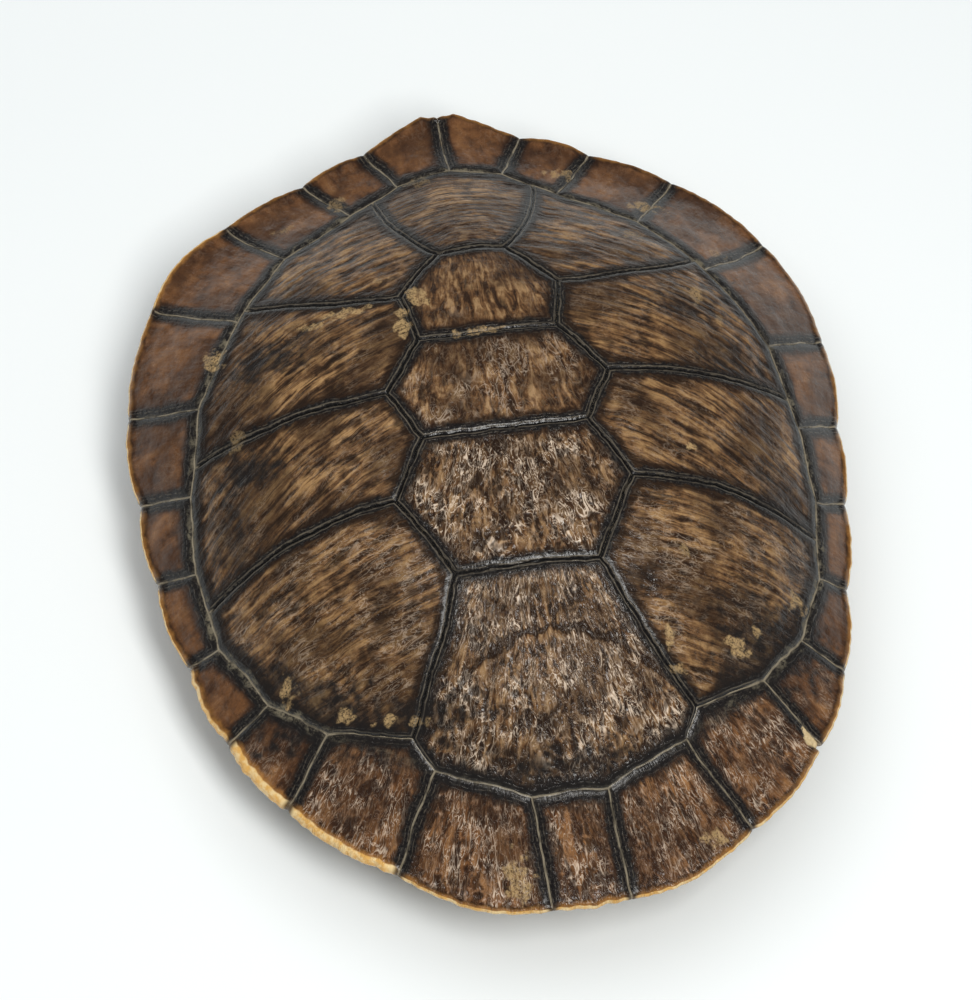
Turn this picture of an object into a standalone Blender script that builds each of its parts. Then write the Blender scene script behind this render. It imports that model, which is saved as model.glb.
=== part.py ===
"""A freshwater turtle's whole shell: two bony halves, each under its own horny scutes.

Plan positions are millimetres from the middle of the carapace. The head end is towards -Y, the tail
towards +Y, +Z is up, and z = 0 is the surface that the shell rests on. The left half mirrors the right.
"""

import math

import bmesh
import bpy
import numpy as np
from mathutils import Vector
from mathutils.geometry import delaunay_2d_cdt

MM = 0.001

# ---- driving dimensions, mm ----
RIM_LEVEL = 28.0          # the carapace's rim above the table
FRONT_RIM_LIFT = 4.0      # how much higher the rim stands over the neck
DOME_RISE = 46.0          # crown above the rim
HALF_LENGTH = 112.5
HEAD_SKEW = 7.5           # the head end leans to +X by this much
SCUTE_THICK = 1.2
SEAM_GAP = 0.3
CARAPACE_BONE = 4.0       # thickness of the domed bone
PLASTRON_BONE = 2.8
SCALLOP = 0.8             # how far each marginal scute bulges past the smooth rim
LOBE_FULLNESS = 0.3       # the same at the tail's two straighter lobes, as a share
RIM_RADIUS = 95.0         # mean radius of the rim, which sets each marginal's own curve
BRIDGE_DROP = 4.0         # the marginals' lower edge below the rim, over the bridge
FREE_EDGE_DEPTH = 9.0     # thickness of the free edge at its lower inner side
UNDERSIDE_REACH = 0.35    # where the marginals end below, as a share of the way from ring seam to rim
PLASTRON_FLAT = 46.0      # half width of the plastron's flat middle
LOBE_UPTURN = 5.0         # the plastron's front and rear ends curve up by this much
POINT_SPACING = 10.0      # between points along a seam and inside a scute
RING_SPACING = 7.0        # the same along the ring seam, and finer at the tail's two lobes
TAIL_SPACING = 4.0

SCUTE_DEPTH = (0.0, SCUTE_THICK)
BONE_TOP = SCUTE_THICK + SEAM_GAP
CARAPACE_DEPTH = (BONE_TOP, BONE_TOP + CARAPACE_BONE)
PLASTRON_DEPTH = (BONE_TOP, BONE_TOP + PLASTRON_BONE)

# Seams between marginal scutes, right side, head to tail: at the rim, and at the ring seam inside it.
RIM_SEAMS = [(9.9, -111.5), (44.6, -97.8), (67.8, -77.8), (78.9, -58.4), (84.9, -36.3), (89.6, -12.5),
             (91.6, 9.6), (92.2, 34.6), (81.8, 65.2), (60.3, 87.0), (39.0, 97.8), (21.5, 105.7), (0.0, 113.0)]
RING_SEAMS = [(9.5, -88.0), (31.5, -78.4), (55.0, -64.7), (67.8, -53.5), (77.0, -35.9), (80.3, -15.5),
              (79.0, 4.3), (74.4, 26.5), (61.5, 49.7), (46.8, 69.3), (27.7, 82.3), (14.3, 91.0), (0.0, 93.5)]
TAIL_LOBE = (4.5, 115.6)  # the rearmost point of each last marginal
NUCHAL_FRONT = (0.0, -112.8)
NUCHAL_REAR = (0.0, -87.6)
MIDDLE_Y = 0.5 * (TAIL_LOBE[1] + NUCHAL_FRONT[1])

# Where a costal or vertebral seam runs into the ring seam, keyed by the marginal that it meets.
RING_FORKS = {2: (35.3, -71.0), 5: (78.5, -26.0), 7: (77.3, 11.0), 9: (59.5, 53.0), 11: (21.5, 86.0)}

# Corners of the vertebral scutes: sN is the side point of vertebral N, nM the front corner of vertebral N.
SPINE = {"n1": (18.0, -36.3), "s2": (29.7, -15.6), "n2": (20.8, -0.3), "s3": (28.0, 13.0),
         "n3": (17.6, 27.8), "s4": (20.5, 42.8), "n4": (9.0, 57.2)}

# Sideways bow of a seam, mm to the left of its direction.
SEAM_BOW = {("s2", "f5"): 2.0, ("s3", "f7"): 0.5, ("s4", "f9"): -2.0, ("n4", "f11"): -2.5, ("n1", "f2"): -1.0}

# Plastron, right side, head to tail: outline and where each cross seam meets the midline.
LOBE_FRONT = [(0.0, -97.0), (8.0, -96.5), (25.0, -94.0), (38.0, -84.0), (45.0, -67.0)]
AXILLA, INGUEN = (47.0, -50.0), (45.0, 34.0)
WING_Y = (-41.0, -9.0, 24.0)
LOBE_REAR = [(42.0, 55.0), (36.0, 70.0), (24.0, 89.0), (0.0, 77.0)]
MIDLINE_Y = {"intergular": -68.0, "humeral": -44.0, "pectoral": -14.0, "abdominal": 22.0, "femoral": 54.0}
GULAR_NOTCH = (7.0, -76.0)

COLOURS = {
    "vertebral": ((0.105, 0.058, 0.028), 0.38), "costal": ((0.095, 0.050, 0.025), 0.40),
    "marginal": ((0.120, 0.058, 0.026), 0.36), "nuchal": ((0.100, 0.055, 0.030), 0.38),
    "plastral": ((0.430, 0.300, 0.140), 0.45), "bone": ((0.640, 0.560, 0.400), 0.62),
}


# ---- plan geometry ----
def edge(start, end, bow=0.0, spacing=POINT_SPACING):
    """Points from start up to but not including end, bowed to the left by bow at the middle."""
    start, end = np.array(start), np.array(end)
    along = end - start
    length = np.hypot(*along)
    left = np.array((-along[1], along[0])) / length
    steps = max(1, round(length / spacing))
    shares = np.arange(steps) / steps
    return [tuple(start + along * s + left * 4 * bow * s * (1 - s)) for s in shares]


def ring_edge(start, end):
    """Points along the ring seam from start up to but not including end."""
    at_tail = RING_SEAMS[-1] in (start, end)
    return edge(start, end, 0.0, TAIL_SPACING if at_tail else RING_SPACING)


def mirrored(points):
    return [(-x, y) for x, y in points]


def contains(outline, point):
    """Whether a point lies inside a closed outline, by counting crossings."""
    x, y = point
    inside = False
    for (ax, ay), (bx, by) in zip(outline, outline[1:] + outline[:1]):
        if (ay > y) != (by > y) and x < ax + (y - ay) / (by - ay) * (bx - ax):
            inside = not inside
    return inside


def clearance(outline, point):
    """Distance from a point to the nearest side of an outline."""
    p = np.array(point)
    a = np.array(outline)
    b = np.roll(a, -1, axis=0)
    share = np.clip(((p - a) * (b - a)).sum(1) / ((b - a) ** 2).sum(1), 0, 1)
    return np.hypot(*(a + (b - a) * share[:, None] - p).T).min()


def inset(outline, distance):
    """The outline moved inwards; it runs anticlockwise."""
    points = np.array(outline)
    ahead = np.roll(points, -1, axis=0) - points
    ahead /= np.hypot(*ahead.T)[:, None]
    normal = np.stack((-ahead[:, 1], ahead[:, 0]), 1)
    before = np.roll(normal, 1, axis=0)
    mitre = normal + before
    mitre /= (mitre * normal).sum(1)[:, None]
    return points + mitre * distance


def triangulate(outline):
    """The outline's points followed by a hexagonal scatter inside it, and the triangles between them."""
    xs, ys = np.array(outline).T
    row_height = POINT_SPACING * math.sqrt(0.75)
    inner = []
    for row in range(math.floor(ys.min() / row_height), math.ceil(ys.max() / row_height) + 1):
        shift = 0.5 * (row % 2)
        first, last = (round(x / POINT_SPACING) for x in (xs.min(), xs.max()))
        for column in range(first - 1, last + 1):
            point = ((column + shift) * POINT_SPACING, row * row_height)
            if contains(outline, point) and clearance(outline, point) > 0.4 * POINT_SPACING:
                inner.append(point)
    points = list(outline) + inner
    found = delaunay_2d_cdt([Vector(p) for p in points], [], [list(range(len(outline)))], 1, 1e-6)
    source = [origins[0] for origins in found[3]]
    return points, [tuple(source[i] for i in face) for face in found[2]]


# ---- the carapace's outer surface ----
def smooth_through(knots, values, at):
    """A smooth curve through values at rising knots, level at both ends."""
    slopes = np.gradient(values, knots)
    slopes[0] = slopes[-1] = 0.0
    i = np.clip(np.searchsorted(knots, at) - 1, 0, len(knots) - 2)
    step = knots[i + 1] - knots[i]
    s = (at - knots[i]) / step
    ends = values[i] * (1 + 2 * s) * (1 - s) ** 2 + values[i + 1] * s * s * (3 - 2 * s)
    return ends + step * (slopes[i] * s * (1 - s) ** 2 - slopes[i + 1] * s * s * (1 - s))


def rim_distance(angle):
    """Smooth rim's distance from the middle, by the angle from the tail."""
    x, y = np.array(RIM_SEAMS[::-1] + [(0.0, -HALF_LENGTH)]).T
    return smooth_through(np.arctan2(x, y), np.hypot(x, y), angle)


def dome_height(x, y):
    """Height above the table. The profile is steep at the sides and flares out towards the tail."""
    distance = np.hypot(x, y)
    angle = np.arctan2(np.abs(x), y)
    reach = np.clip(distance / rim_distance(angle), 0.0, 1.0)
    rear = np.clip(np.cos(angle), 0, 1) ** 2
    front = np.clip(-np.cos(angle), 0, 1) ** 2
    fullness = 1.6 - 0.30 * rear - 0.15 * front
    flare = 1.0 + 0.50 * rear + 0.15 * front
    crown = np.cos(0.5 * np.pi * reach ** fullness) ** flare
    lift = np.clip(-y / HALF_LENGTH, 0, 1) ** 2 * reach ** 3
    return RIM_LEVEL + DOME_RISE * crown + FRONT_RIM_LIFT * lift


def carapace_point(x, y, depth):
    """The point at this depth below the outer surface, measured square to it."""
    reach = 0.5
    slope_x = dome_height(x + reach, y) - dome_height(x - reach, y)
    slope_y = dome_height(x, y + reach) - dome_height(x, y - reach)
    normal = np.array((-slope_x, -slope_y, 1.0))
    normal /= np.linalg.norm(normal)
    return np.array((x, y, float(dome_height(x, y)))) - normal * depth


# ---- the marginal ring ----
def rim_edge(start, end, fullness):
    """Points along a marginal's own outward-bulging rim, head to tail on the right side."""
    bulge = math.dist(start, end) ** 2 / (8 * RIM_RADIUS) + SCALLOP
    return edge(start, end, -bulge * fullness, 0.5 * POINT_SPACING)


def along(points, share):
    """The point at this share of a polyline's length."""
    points = np.array(points)
    lengths = np.append(0.0, np.cumsum(np.hypot(*np.diff(points, axis=0).T)))
    return np.array([np.interp(share * lengths[-1], lengths, c) for c in points.T])


def marginal_sides(number):
    """Ring seam and rim of a right marginal, as polylines from its front seam to its rear seam."""
    i = number - 1
    fork = [RING_FORKS[number]] if number in RING_FORKS else []
    corners = [RING_SEAMS[i], *fork, RING_SEAMS[i + 1]]
    ring = [p for a, b in zip(corners, corners[1:]) for p in ring_edge(a, b)] + [corners[-1]]
    lobe = [TAIL_LOBE] if number == 12 else []
    corners = [RIM_SEAMS[i], *lobe, RIM_SEAMS[i + 1]]
    fullness = LOBE_FULLNESS if lobe else 1.0
    rim = [p for a, b in zip(corners, corners[1:]) for p in rim_edge(a, b, fullness)]
    return ring, rim + [corners[-1]]


def nuchal_sides():
    """Ring seam and rim of the nuchal, left to right."""
    return tuple([(-seams[0][0], seams[0][1]), middle, seams[0]]
                 for seams, middle in ((RING_SEAMS, NUCHAL_REAR), (RIM_SEAMS, NUCHAL_FRONT)))


def bridge_weight(y):
    """1 along the bridge between the two halves, 0 at the free edges beyond it."""
    def ease(v):
        v = min(max(v, 0.0), 1.0)
        return v * v * (3 - 2 * v)
    return ease((y + 60) / 20) * ease((44 - y) / 20)


def underside_height(inner, y):
    """Height of the marginals' lower edge, from the dome's height above it."""
    rim = RIM_LEVEL + FRONT_RIM_LIFT * max(-y / HALF_LENGTH, 0) ** 2
    weight = bridge_weight(y)
    return weight * (rim - BRIDGE_DROP) + (1 - weight) * (inner - FREE_EDGE_DEPTH)


# The inner point that backs each outer point of a marginal's section.
INNER_OF_OUTER = (0, 1, 2, 3, 3, 3, 4)


class Section:
    """A slice across the marginal ring, from the ring seam out to the rim and back underneath."""

    TOP = (0.0, 0.4, 0.75)

    def __init__(self, ring, rim):
        self.ring, self.rim = np.array(ring), np.array(rim)
        self.across = self.rim - self.ring
        self.width = np.hypot(*self.across)
        self.tip_z = float(dome_height(*self.rim))
        self.below = self.plan(UNDERSIDE_REACH)
        self.below_z = underside_height(float(dome_height(*self.below)), self.rim[1])

    def plan(self, share):
        return self.ring + self.across * share

    def at(self, distance, z):
        return np.array((*self.plan(distance / self.width), z))

    def outer(self, start):
        """Outer skin, from the ring seam over the rim to the lower inner edge."""
        top = [carapace_point(*self.plan(f), 0.0) for f in (start, *self.TOP[1:], 0.93)]
        tip = self.at(self.width, self.tip_z)
        under = self.at(self.width - 1.0, self.tip_z - 2.0)
        return [*top, tip, under, self.at(UNDERSIDE_REACH * self.width, self.below_z)]

    def inner(self, start, depth):
        """The same skin at this depth, its rim brought in to where the two sides meet."""
        top = [carapace_point(*self.plan(f), depth) for f in (start, *self.TOP[1:])]
        s0, z0 = self.TOP[-1] * self.width, carapace_point(*self.plan(self.TOP[-1]), 0.0)[2]
        s1, z1 = UNDERSIDE_REACH * self.width, self.below_z
        upper = np.array((self.width - s0, self.tip_z - z0))
        lower = np.array((self.width - 1.0 - s1, self.tip_z - 2.0 - z1))
        upper /= np.hypot(*upper)
        lower /= np.hypot(*lower)
        a = np.array((s0 + upper[1] * depth, z0 - upper[0] * depth))
        b = np.array((s1 - lower[1] * depth, z1 + lower[0] * depth))
        run = np.linalg.solve(np.stack((upper, -lower), 1), b - a)[0]
        meet = a + upper * run
        return [*top, self.at(*meet), self.at(s1, self.below_z + depth)]


def sections(sides, end_inset):
    """Sections at each point of the ring polyline, the two end ones moved in by end_inset."""
    ring, rim = sides
    ring = np.array(ring)
    lengths = np.append(0.0, np.cumsum(np.hypot(*np.diff(ring, axis=0).T)))
    shares = lengths / lengths[-1]
    shares[0] += end_inset / lengths[-1]
    shares[-1] -= end_inset / lengths[-1]
    return [Section(along(ring, s), along(rim, s)) for s in shares]


# ---- the plastron's outer surface ----
def bridge_line():
    """The marginals' lower inner edge on the right side: y, distance from the midline, and height."""
    slices = [s for number in range(3, 10) for s in sections(marginal_sides(number), 0.0)[:-1]]
    return np.array([(s.below[1], s.below[0], s.below_z) for s in slices]).T


BRIDGE = bridge_line()


def wing_edge(y):
    """The plastron wing's outer edge beside the marginals, as distance from the midline and height."""
    return np.interp(y, BRIDGE[0], BRIDGE[1]) - SEAM_GAP, np.interp(y, BRIDGE[0], BRIDGE[2]) - SEAM_GAP


def plastron_point(x, y, depth):
    """Flat in the middle, rising through the wings to the bridge; depth is measured straight up."""
    edge_x, edge_z = wing_edge(y)
    share = min(max((abs(x) - PLASTRON_FLAT) / (edge_x - PLASTRON_FLAT), 0.0), 1.0)
    wing = edge_z * (1 - math.cos(0.5 * math.pi * share ** 1.2))
    front = max((-y - 72) / 25, 0.0) ** 2
    rear = max((y - 60) / 29, 0.0) ** 2
    return np.array((x, y, wing + LOBE_UPTURN * (front + rear) + depth))


# ---- scute outlines, anticlockwise from above, right side ----
def junction(name):
    """A named corner: g ring seam, f fork on the ring, s and n vertebral corners."""
    if name in SPINE:
        return SPINE[name]
    number = int(name[1:])
    return RING_SEAMS[number] if name[0] == "g" else RING_FORKS[number]


def run(names):
    """Points along consecutive corners, without the last one."""
    points = []
    for a, b in zip(names, names[1:]):
        bow = SEAM_BOW.get((a, b), 0.0) - SEAM_BOW.get((b, a), 0.0)
        on_ring = a[0] in "gf" and b[0] in "gf"
        points += ring_edge(junction(a), junction(b)) if on_ring else edge(junction(a), junction(b), bow)
    return points


def vertebral_outlines():
    chains = {
        1: ["g0", "g1", "f2", "n1"], 2: ["n1", "s2", "n2"], 3: ["n2", "s3", "n3"],
        4: ["n3", "s4", "n4"], 5: ["n4", "f11", "g11"],
    }
    outlines = {}
    for number, chain in chains.items():
        right = run(chain) + [junction(chain[-1])]
        rear = edge(right[-1], (-right[-1][0], right[-1][1]))[1:]
        front = edge((-right[0][0], right[0][1]), right[0])[1:]
        if number == 1:
            front = [NUCHAL_REAR]
        elif number == 5:
            to_tail = ring_edge(RING_SEAMS[11], RING_SEAMS[12])[1:] + [RING_SEAMS[12]]
            rear = to_tail + mirrored(to_tail[-2::-1])
        outlines[number] = right + rear + mirrored(right[::-1]) + front
    return outlines


def costal_outlines():
    chains = {
        1: ["n1", "f2", "g2", "g3", "g4", "f5", "s2", "n1"],
        2: ["s2", "f5", "g5", "g6", "f7", "s3", "n2", "s2"],
        3: ["s3", "f7", "g7", "g8", "f9", "s4", "n3", "s3"],
        4: ["s4", "f9", "g9", "g10", "f11", "n4", "s4"],
    }
    return {number: run(chain) for number, chain in chains.items()}


def wing_run(y0, y1):
    """Points along the wing's outer edge from y0 up to but not including y1."""
    steps = max(1, round(abs(y1 - y0) / POINT_SPACING))
    ys = [y0 + (y1 - y0) * i / steps for i in range(steps)]
    return [(float(wing_edge(y)[0]), y) for y in ys]


def plastral_outlines():
    """Right side outlines, and the single intergular across the midline."""
    mid = {name: (0.0, y) for name, y in MIDLINE_Y.items()}
    front, axle, mid_wing, rear = LOBE_FRONT, *[(float(wing_edge(y)[0]), y) for y in WING_Y]
    seam = {
        "gular": edge(front[1], front[2]) + edge(front[2], GULAR_NOTCH) + edge(GULAR_NOTCH, front[1]),
        "humeral": edge(mid["intergular"], GULAR_NOTCH) + edge(GULAR_NOTCH, front[2])
        + edge(front[2], front[3]) + edge(front[3], front[4]) + edge(front[4], AXILLA)
        + edge(AXILLA, mid["humeral"]) + edge(mid["humeral"], mid["intergular"]),
        "pectoral": edge(mid["humeral"], AXILLA) + edge(AXILLA, axle) + wing_run(*WING_Y[:2])
        + edge(mid_wing, mid["pectoral"]) + edge(mid["pectoral"], mid["humeral"]),
        "abdominal": edge(mid["pectoral"], mid_wing) + wing_run(*WING_Y[1:]) + edge(rear, INGUEN)
        + edge(INGUEN, mid["abdominal"]) + edge(mid["abdominal"], mid["pectoral"]),
        "femoral": edge(mid["abdominal"], INGUEN) + edge(INGUEN, LOBE_REAR[0])
        + edge(LOBE_REAR[0], LOBE_REAR[1]) + edge(LOBE_REAR[1], mid["femoral"])
        + edge(mid["femoral"], mid["abdominal"]),
        "anal": edge(mid["femoral"], LOBE_REAR[1]) + edge(LOBE_REAR[1], LOBE_REAR[2])
        + edge(LOBE_REAR[2], LOBE_REAR[3]) + edge(LOBE_REAR[3], mid["femoral"]),
    }
    right = edge(front[0], front[1]) + edge(front[1], GULAR_NOTCH) + edge(GULAR_NOTCH, mid["intergular"])
    return seam, [*right, mid["intergular"], *mirrored(right[:0:-1])]


# ---- solids ----
def skewed(points):
    """World metres: the head end leans to +X, and the whole is centred on its length."""
    points = np.array(points, dtype=float)
    points[:, 0] += HEAD_SKEW * np.clip(-points[:, 1] / HALF_LENGTH, 0, 1) ** 2
    points[:, 1] -= MIDDLE_Y
    return points * MM


def make_solid(name, points, faces, kind):
    """One closed mesh object with its own material."""
    mesh = bpy.data.meshes.new(name)
    shape = bmesh.new()
    corners = [shape.verts.new(p) for p in skewed(points)]
    for face in faces:
        shape.faces.new([corners[i] for i in face])
    bmesh.ops.triangulate(shape, faces=shape.faces[:], quad_method="FIXED")
    bmesh.ops.recalc_face_normals(shape, faces=shape.faces[:])
    shape.to_mesh(mesh)
    shape.free()
    mesh.shade_smooth()
    mesh.set_sharp_from_angle(angle=math.radians(35))
    colour, roughness = COLOURS[kind]
    material = bpy.data.materials.new(name)
    material.use_nodes = True
    shader = material.node_tree.nodes["Principled BSDF"]
    shader.inputs["Base Color"].default_value = (*colour, 1.0)
    shader.inputs["Roughness"].default_value = roughness
    shader.inputs["Metallic"].default_value = 0.0
    mesh.materials.append(material)
    obj = bpy.data.objects.new(name, mesh)
    bpy.context.scene.collection.objects.link(obj)


def make_plate(name, outline, surface, kind):
    """A scute that lies on the bone: its outline set back from the seam by half the gap."""
    points, triangles = triangulate(outline)
    rim_count = len(outline)
    points[:rim_count] = [tuple(p) for p in inset(outline, 0.5 * SEAM_GAP)]
    count = len(points)
    both = [surface(x, y, depth) for depth in SCUTE_DEPTH for x, y in points]
    faces = list(triangles) + [tuple(i + count for i in t[::-1]) for t in triangles]
    for i in range(rim_count):
        j = (i + 1) % rim_count
        faces.append((i, j, j + count, i + count))
    make_solid(name, both, faces, kind)


def make_marginal(name, sides, side, kind):
    """A scute folded over the rim, lofted through its sections; side is 1 right or -1 left."""
    loops = []
    for s in sections(sides, 0.5 * SEAM_GAP):
        start = 0.7 * SEAM_GAP / s.width
        loops.append(s.outer(start) + s.inner(start, SCUTE_THICK)[::-1])
    size = len(loops[0])
    faces = []
    for k in range(len(loops) - 1):
        for i in range(size):
            j = (i + 1) % size
            quad = (k * size + i, k * size + j, (k + 1) * size + j, (k + 1) * size + i)
            faces.append(quad[1:] + quad[:1] if j < len(INNER_OF_OUTER) else quad)
    behind = [size - 1 - i for i in INNER_OF_OUTER]
    for first in (0, (len(loops) - 1) * size):
        for i, (a, b) in enumerate(zip(behind, behind[1:])):
            faces.append([first + c for c in dict.fromkeys((i, i + 1, b, a))])
    make_solid(name, np.array([p for loop in loops for p in loop]) * (side, 1, 1), faces, kind)


def weld_key(x, y):
    return round(x, 3), round(y, 3)


def make_carapace_bone(outlines):
    """The domed bone: scute outlines on the dome, then the ring folded round inside the marginals."""
    points, faces, index = [], [], {}
    outer_depth, inner_depth = CARAPACE_DEPTH

    def place(x, y, layer, point):
        """The index of the point welded at this plan position and layer."""
        key = (*weld_key(x, y), layer)
        if key not in index:
            index[key] = len(points)
            points.append(point)
        return index[key]

    for outline in outlines:
        flat, triangles = triangulate(outline)
        for triangle in triangles:
            for depth, order in zip(CARAPACE_DEPTH, (1, -1)):
                faces.append(tuple(place(*flat[i], depth, carapace_point(*flat[i], depth))
                                   for i in triangle[::order]))

    strips = [(nuchal_sides(), 1)]
    strips += [(marginal_sides(number), side) for number in range(1, 13) for side in (1, -1)]
    for sides, side in strips:
        chains = []
        for s in sections(sides, 0.0):
            inner_wall = s.at(UNDERSIDE_REACH * s.width, float(dome_height(*s.below)) - inner_depth)
            fold = [*s.inner(0.0, outer_depth), inner_wall, carapace_point(*s.ring, inner_depth)]
            layers = [outer_depth, *range(1, len(fold) - 1), inner_depth]
            chains.append([place(s.ring[0] * side, s.ring[1], layer, point * (side, 1, 1))
                           for layer, point in zip(layers, fold)])
        for a, b in zip(chains, chains[1:]):
            for i in range(len(a) - 1):
                faces.append((a[i + 1], b[i + 1], b[i], a[i]))
    make_solid("carapace_bone", points, faces, "bone")


def make_plastron_bone(outlines):
    """One plate under all the plastral scutes, its sides open at the outline."""
    points, faces, index, sides = [], [], {}, {}

    def place(x, y, depth):
        key = (*weld_key(x, y), depth)
        if key not in index:
            index[key] = len(points)
            points.append(plastron_point(x, y, depth))
        return index[key]

    for outline in outlines:
        flat, triangles = triangulate(outline)
        for triangle in triangles:
            for depth, order in zip(PLASTRON_DEPTH, (1, -1)):
                faces.append(tuple(place(*flat[i], depth) for i in triangle[::order]))
            for i, j in zip(triangle, triangle[1:] + triangle[:1]):
                a, b = weld_key(*flat[i]), weld_key(*flat[j])
                if sides.pop((b, a), None) is None:
                    sides[a, b] = (flat[i], flat[j])
    for start, end in sides.values():
        low, high = PLASTRON_DEPTH
        faces.append((place(*start, low), place(*end, low), place(*end, high), place(*start, high)))
    make_solid("plastron_bone", points, faces, "bone")


def main():
    for obj in list(bpy.data.objects):
        bpy.data.objects.remove(obj, do_unlink=True)

    vertebrals, costals = vertebral_outlines(), costal_outlines()
    for number, outline in vertebrals.items():
        make_plate(f"vertebral_{number}", outline, carapace_point, "vertebral")
    left_costals = {n: mirrored(outline[::-1]) for n, outline in costals.items()}
    for side, found in (("right", costals), ("left", left_costals)):
        for number, outline in found.items():
            make_plate(f"costal_{side}_{number}", outline, carapace_point, "costal")

    make_marginal("nuchal", nuchal_sides(), 1, "nuchal")
    for number in range(1, 13):
        for side, sign in (("right", 1), ("left", -1)):
            make_marginal(f"marginal_{side}_{number}", marginal_sides(number), sign, "marginal")
    make_carapace_bone([*vertebrals.values(), *costals.values(), *left_costals.values()])

    plastrals, intergular = plastral_outlines()
    make_plate("intergular", intergular, plastron_point, "plastral")
    lower = [intergular]
    for kind, outline in plastrals.items():
        left = mirrored(outline[::-1])
        make_plate(f"{kind}_right", outline, plastron_point, "plastral")
        make_plate(f"{kind}_left", left, plastron_point, "plastral")
        lower += [outline, left]
    make_plastron_bone(lower)


main()
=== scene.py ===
"""Turtle shell: dense scutes with their own relief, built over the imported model's layout."""

import math

import bmesh
import bpy
import numpy as np
from mathutils import Matrix, Vector
from mathutils.geometry import delaunay_2d_cdt


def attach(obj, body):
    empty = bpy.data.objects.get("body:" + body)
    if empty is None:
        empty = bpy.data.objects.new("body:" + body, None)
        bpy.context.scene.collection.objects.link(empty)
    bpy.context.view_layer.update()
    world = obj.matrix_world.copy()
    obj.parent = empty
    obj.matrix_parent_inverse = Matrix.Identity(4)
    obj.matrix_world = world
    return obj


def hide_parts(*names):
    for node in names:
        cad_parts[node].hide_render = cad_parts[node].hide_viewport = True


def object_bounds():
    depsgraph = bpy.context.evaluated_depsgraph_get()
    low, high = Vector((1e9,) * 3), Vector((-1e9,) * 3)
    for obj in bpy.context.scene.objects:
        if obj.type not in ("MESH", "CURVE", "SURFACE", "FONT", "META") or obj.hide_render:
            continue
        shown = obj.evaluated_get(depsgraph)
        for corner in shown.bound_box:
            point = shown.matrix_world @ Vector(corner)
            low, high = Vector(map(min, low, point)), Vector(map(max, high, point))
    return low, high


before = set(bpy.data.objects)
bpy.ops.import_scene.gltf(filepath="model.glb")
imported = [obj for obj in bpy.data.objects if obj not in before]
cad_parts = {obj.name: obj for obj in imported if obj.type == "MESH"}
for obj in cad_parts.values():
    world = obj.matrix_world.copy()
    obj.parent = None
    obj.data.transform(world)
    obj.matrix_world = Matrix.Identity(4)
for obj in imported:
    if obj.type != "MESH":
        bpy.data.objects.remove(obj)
CAD_LOW, CAD_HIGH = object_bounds()

# ---- the CAD's layout, mm in plan, head to tail, right side ----
RIM_LEVEL, FRONT_RIM_LIFT, DOME_RISE = 28.0, 4.0, 46.0
HALF_LENGTH, HEAD_SKEW = 112.5, 7.5
SCUTE_THICK, SEAM_GAP = 1.2, 0.3
SCALLOP, LOBE_FULLNESS, RIM_RADIUS = 0.8, 0.3, 95.0
BRIDGE_DROP, FREE_EDGE_DEPTH, UNDERSIDE_REACH = 4.0, 9.0, 0.35
PLASTRON_FLAT, LOBE_UPTURN = 46.0, 5.0
RIM_SEAMS = [(9.9, -111.5), (44.6, -97.8), (67.8, -77.8), (78.9, -58.4), (84.9, -36.3), (89.6, -12.5),
             (91.6, 9.6), (92.2, 34.6), (81.8, 65.2), (60.3, 87.0), (39.0, 97.8), (21.5, 105.7), (0.0, 113.0)]
RING_SEAMS = [(9.5, -88.0), (31.5, -78.4), (55.0, -64.7), (67.8, -53.5), (77.0, -35.9), (80.3, -15.5),
              (79.0, 4.3), (74.4, 26.5), (61.5, 49.7), (46.8, 69.3), (27.7, 82.3), (14.3, 91.0), (0.0, 93.5)]
TAIL_LOBE = (4.5, 115.6)
NUCHAL_FRONT, NUCHAL_REAR = (0.0, -112.8), (0.0, -87.6)
MIDDLE_Y = 0.5 * (TAIL_LOBE[1] + NUCHAL_FRONT[1])
RING_FORKS = {2: (35.3, -71.0), 5: (78.5, -26.0), 7: (77.3, 11.0), 9: (59.5, 53.0), 11: (21.5, 86.0)}
SPINE = {"n1": (18.0, -36.3), "s2": (29.7, -15.6), "n2": (20.8, -0.3), "s3": (28.0, 13.0),
         "n3": (17.6, 27.8), "s4": (20.5, 42.8), "n4": (9.0, 57.2)}
SEAM_BOW = {("s2", "f5"): 2.0, ("s3", "f7"): 0.5, ("s4", "f9"): -2.0, ("n4", "f11"): -2.5, ("n1", "f2"): -1.0}
LOBE_FRONT = [(0.0, -97.0), (8.0, -96.5), (25.0, -94.0), (38.0, -84.0), (45.0, -67.0)]
AXILLA, INGUEN = (47.0, -50.0), (45.0, 34.0)
WING_Y = (-41.0, -9.0, 24.0)
LOBE_REAR = [(42.0, 55.0), (36.0, 70.0), (24.0, 89.0), (0.0, 77.0)]
MIDLINE_Y = {"intergular": -68.0, "humeral": -44.0, "pectoral": -14.0, "abdominal": 22.0, "femoral": 54.0}
GULAR_NOTCH = (7.0, -76.0)

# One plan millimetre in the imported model, from its measured length.
PACKED_LENGTH = 227.94
UNIT = (CAD_HIGH.y - CAD_LOW.y) / PACKED_LENGTH
MIDDLE = 0.5 * (CAD_LOW + CAD_HIGH)

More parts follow.
